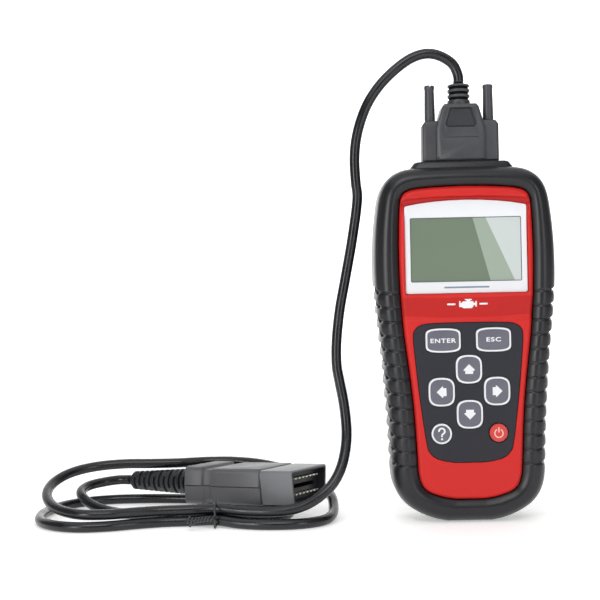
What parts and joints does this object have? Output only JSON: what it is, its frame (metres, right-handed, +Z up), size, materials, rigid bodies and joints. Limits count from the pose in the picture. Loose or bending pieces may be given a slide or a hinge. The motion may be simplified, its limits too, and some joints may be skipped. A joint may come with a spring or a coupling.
{
  "type": "obd code reader",
  "caption": "Handheld OBD-II code reader with a display and keypad in a rubber boot, and its DA-15 to OBD-II cable tied in a loose hank.",
  "frame": {"origin": "bottom centre of the handset, on the surface it stands on", "axes": "+X to the handset's right seen from the front, +Y towards its back, +Z up towards the cable plug"},
  "size_m": [0.2812, 0.0918, 0.2504],
  "materials": {
    "boot": "matte moulded",
    "shell": "semi-gloss red",
    "black_plastic": "fine matte",
    "bezel": "white printed",
    "window": "clear",
    "lcd": "grey-green",
    "backlight": "diffusing",
    "ribbon": "polyimide",
    "panel": "fine matte",
    "key": "satin",
    "power_key": "satin red",
    "silicone": "matte",
    "board": "solder mask",
    "chip": "moulded epoxy",
    "can": "drawn",
    "steel": "nickel plated",
    "plug": "moulded grey-black",
    "cable": "smooth PVC jacket",
    "contacts": "tin-plated"
  },
  "bodies": {
    "handset": {"rubber_boot": "boot", "front_shell": "shell", "rear_shell": "shell", "port_collar": "black_plastic", "display_bezel": "bezel", "display_window": "window", "lcd_glass": "lcd", "lcd_backlight": "backlight", "lcd_ribbon": "ribbon", "keypad_panel": "panel", "key_mat": "silicone", "main_board": "board", "processor_chip": "chip", "memory_chip": "chip", "transceiver_chip": "chip", "crystal": "can", "capacitor": "can", "voltage_regulator": "chip", "buzzer": "chip", "case_screw_upper_left": "steel", "case_screw_upper_right": "steel", "case_screw_lower_left": "steel", "case_screw_lower_right": "steel", "port_shell": "steel", "port_insert": "black_plastic", "jack_nut_left": "steel", "jack_nut_right": "steel", "cable_lead": "cable", "cable_tail": "cable", "cable_hank": "cable", "cable_tie": "cable", "obd_strain_relief": "black_plastic", "obd_cover_upper": "plug", "obd_cover_lower": "plug", "obd_shell": "plug", "obd_insert": "black_plastic", "obd_contacts_upper": "contacts", "obd_contacts_lower": "contacts"},
    "db15_plug": {"db15_hood": "plug", "db15_shell": "steel", "db15_insert": "black_plastic", "db15_strain_relief": "black_plastic"},
    "screw_left": {"thumbscrew_left": "black_plastic"},
    "screw_right": {"thumbscrew_right": "black_plastic"},
    "enter_key": {"key_enter": "key"},
    "esc_key": {"key_esc": "key"},
    "up_key": {"key_up": "key"},
    "left_key": {"key_left": "key"},
    "right_key": {"key_right": "key"},
    "down_key": {"key_down": "key"},
    "help_key": {"key_help": "key"},
    "power_key": {"key_power": "power_key"}
  },
  "joints": [
    {"name": "enter_press", "type": "slide", "parent": "handset", "child": "enter_key", "axis": [0, 1, 0], "range_m": [0, 0.0008], "stiffness_N_per_m": 900},
    {"name": "esc_press", "type": "slide", "parent": "handset", "child": "esc_key", "axis": [0, 1, 0], "range_m": [0, 0.0008], "stiffness_N_per_m": 900},
    {"name": "up_press", "type": "slide", "parent": "handset", "child": "up_key", "axis": [0, 1, 0], "range_m": [0, 0.0008], "stiffness_N_per_m": 900},
    {"name": "left_press", "type": "slide", "parent": "handset", "child": "left_key", "axis": [0, 1, 0], "range_m": [0, 0.0008], "stiffness_N_per_m": 900},
    {"name": "right_press", "type": "slide", "parent": "handset", "child": "right_key", "axis": [0, 1, 0], "range_m": [0, 0.0008], "stiffness_N_per_m": 900},
    {"name": "down_press", "type": "slide", "parent": "handset", "child": "down_key", "axis": [0, 1, 0], "range_m": [0, 0.0008], "stiffness_N_per_m": 900},
    {"name": "help_press", "type": "slide", "parent": "handset", "child": "help_key", "axis": [0, 1, 0], "range_m": [0, 0.0008], "stiffness_N_per_m": 900},
    {"name": "power_press", "type": "slide", "parent": "handset", "child": "power_key", "axis": [0, 1, 0], "range_m": [0, 0.0008], "stiffness_N_per_m": 900},
    {"name": "plug_pull", "type": "slide", "parent": "handset", "child": "db15_plug", "axis": [0, 0, 1], "range_m": [0, 0.01], "deforming": ["cable_lead"]},
    {"name": "screw_left_turn", "type": "hinge", "parent": "db15_plug", "child": "screw_left", "pos_m": [-0.0156, 0, 0.2118], "axis": [0, 0, 1], "continuous": true},
    {"name": "screw_right_turn", "type": "hinge", "parent": "db15_plug", "child": "screw_right", "pos_m": [0.0156, 0, 0.2118], "axis": [0, 0, 1], "continuous": true}
  ]
}
